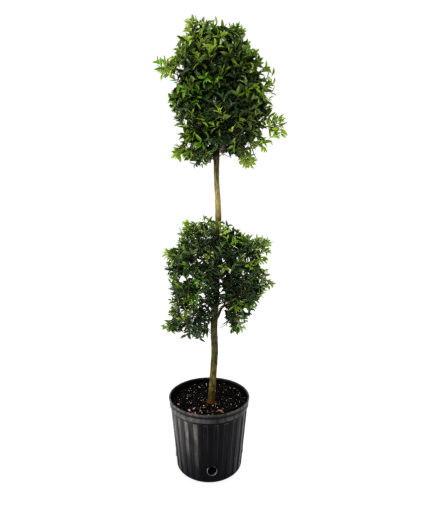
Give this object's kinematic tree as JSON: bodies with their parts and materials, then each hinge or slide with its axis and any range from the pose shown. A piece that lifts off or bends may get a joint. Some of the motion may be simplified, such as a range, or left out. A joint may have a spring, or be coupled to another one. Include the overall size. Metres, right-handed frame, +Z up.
{
  "type": "potted topiary",
  "caption": "Slender bare-stemmed topiary clipped into a ball over a ball of small leaves, standing in a round fluted black nursery pot filled with bark mix.",
  "frame": {"origin": "centre of the pot's flat underside", "axes": "+Z up along the plant, -Y towards the viewer of the front, +X to the viewer's right"},
  "size_m": [0.4387, 0.3644, 1.4819],
  "materials": {
    "pot_plastic": "moulded black polyethylene with a soft grey sheen",
    "bark_mix": "moist dark bark and peat with white perlite",
    "trunk_bark": "smooth olive-tan bark",
    "bough_bark": "smooth tan-grey bark",
    "leaves": "glossy small dark green leaves with lighter tips"
  },
  "bodies": {
    "root": {"nursery_pot": "pot_plastic", "potting_mix": "bark_mix", "trunk": "trunk_bark", "bough_lower_1": "bough_bark", "foliage_lower_1": "leaves", "bough_lower_2": "bough_bark", "foliage_lower_2": "leaves", "bough_lower_3": "bough_bark", "foliage_lower_3": "leaves", "bough_lower_4": "bough_bark", "foliage_lower_4": "leaves", "bough_lower_5": "bough_bark", "foliage_lower_5": "leaves", "bough_lower_6": "bough_bark", "foliage_lower_6": "leaves", "bough_lower_7": "bough_bark", "foliage_lower_7": "leaves", "bough_lower_8": "bough_bark", "foliage_lower_8": "leaves", "bough_upper_1": "bough_bark", "foliage_upper_1": "leaves", "bough_upper_2": "bough_bark", "foliage_upper_2": "leaves", "bough_upper_3": "bough_bark", "foliage_upper_3": "leaves", "bough_upper_4": "bough_bark", "foliage_upper_4": "leaves", "bough_upper_5": "bough_bark", "foliage_upper_5": "leaves", "bough_upper_6": "bough_bark", "foliage_upper_6": "leaves", "bough_upper_7": "bough_bark", "foliage_upper_7": "leaves", "bough_upper_8": "bough_bark", "foliage_upper_8": "leaves"}
  },
  "joints": []
}
